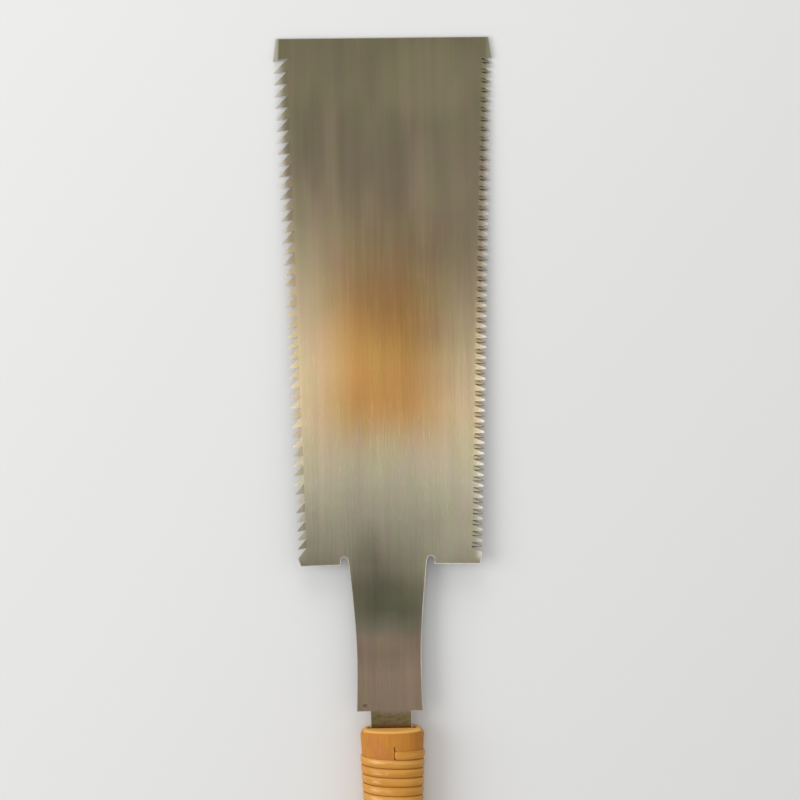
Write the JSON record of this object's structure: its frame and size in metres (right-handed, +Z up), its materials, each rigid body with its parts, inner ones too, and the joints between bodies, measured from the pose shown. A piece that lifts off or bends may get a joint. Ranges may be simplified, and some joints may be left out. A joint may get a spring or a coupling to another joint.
{
  "type": "ryoba saw",
  "caption": "Double-edged pull saw: flat forged blade with rip teeth on one edge and crosscut teeth on the other, its tang held in an oval two-part wooden handle bound in split cane.",
  "frame": {"origin": "middle of the base of the saw's box, with the blade level", "axes": "+Y along the saw towards the toe, +X across the blade towards the crosscut edge, +Z up, square to the blade"},
  "size_m": [0.1064, 0.642, 0.0235],
  "materials": {
    "blade_steel": "scraped lengthwise, darkened with age, bright at the edges",
    "handle_wood": "bare softwood, orange-tan with handling",
    "handle_cane": "split cane with its glossy skin outwards, golden"
  },
  "bodies": {
    "handle": {"handle_upper_half": "handle_wood", "handle_lower_half": "handle_wood", "cane_front": "handle_cane", "cane_middle": "handle_cane", "cane_rear": "handle_cane"},
    "blade": {"blade": "blade_steel"}
  },
  "joints": [
    {"name": "tang_slide", "type": "slide", "parent": "handle", "child": "blade", "axis": [0, 1, 0], "range_m": [0, 0.1]}
  ]
}
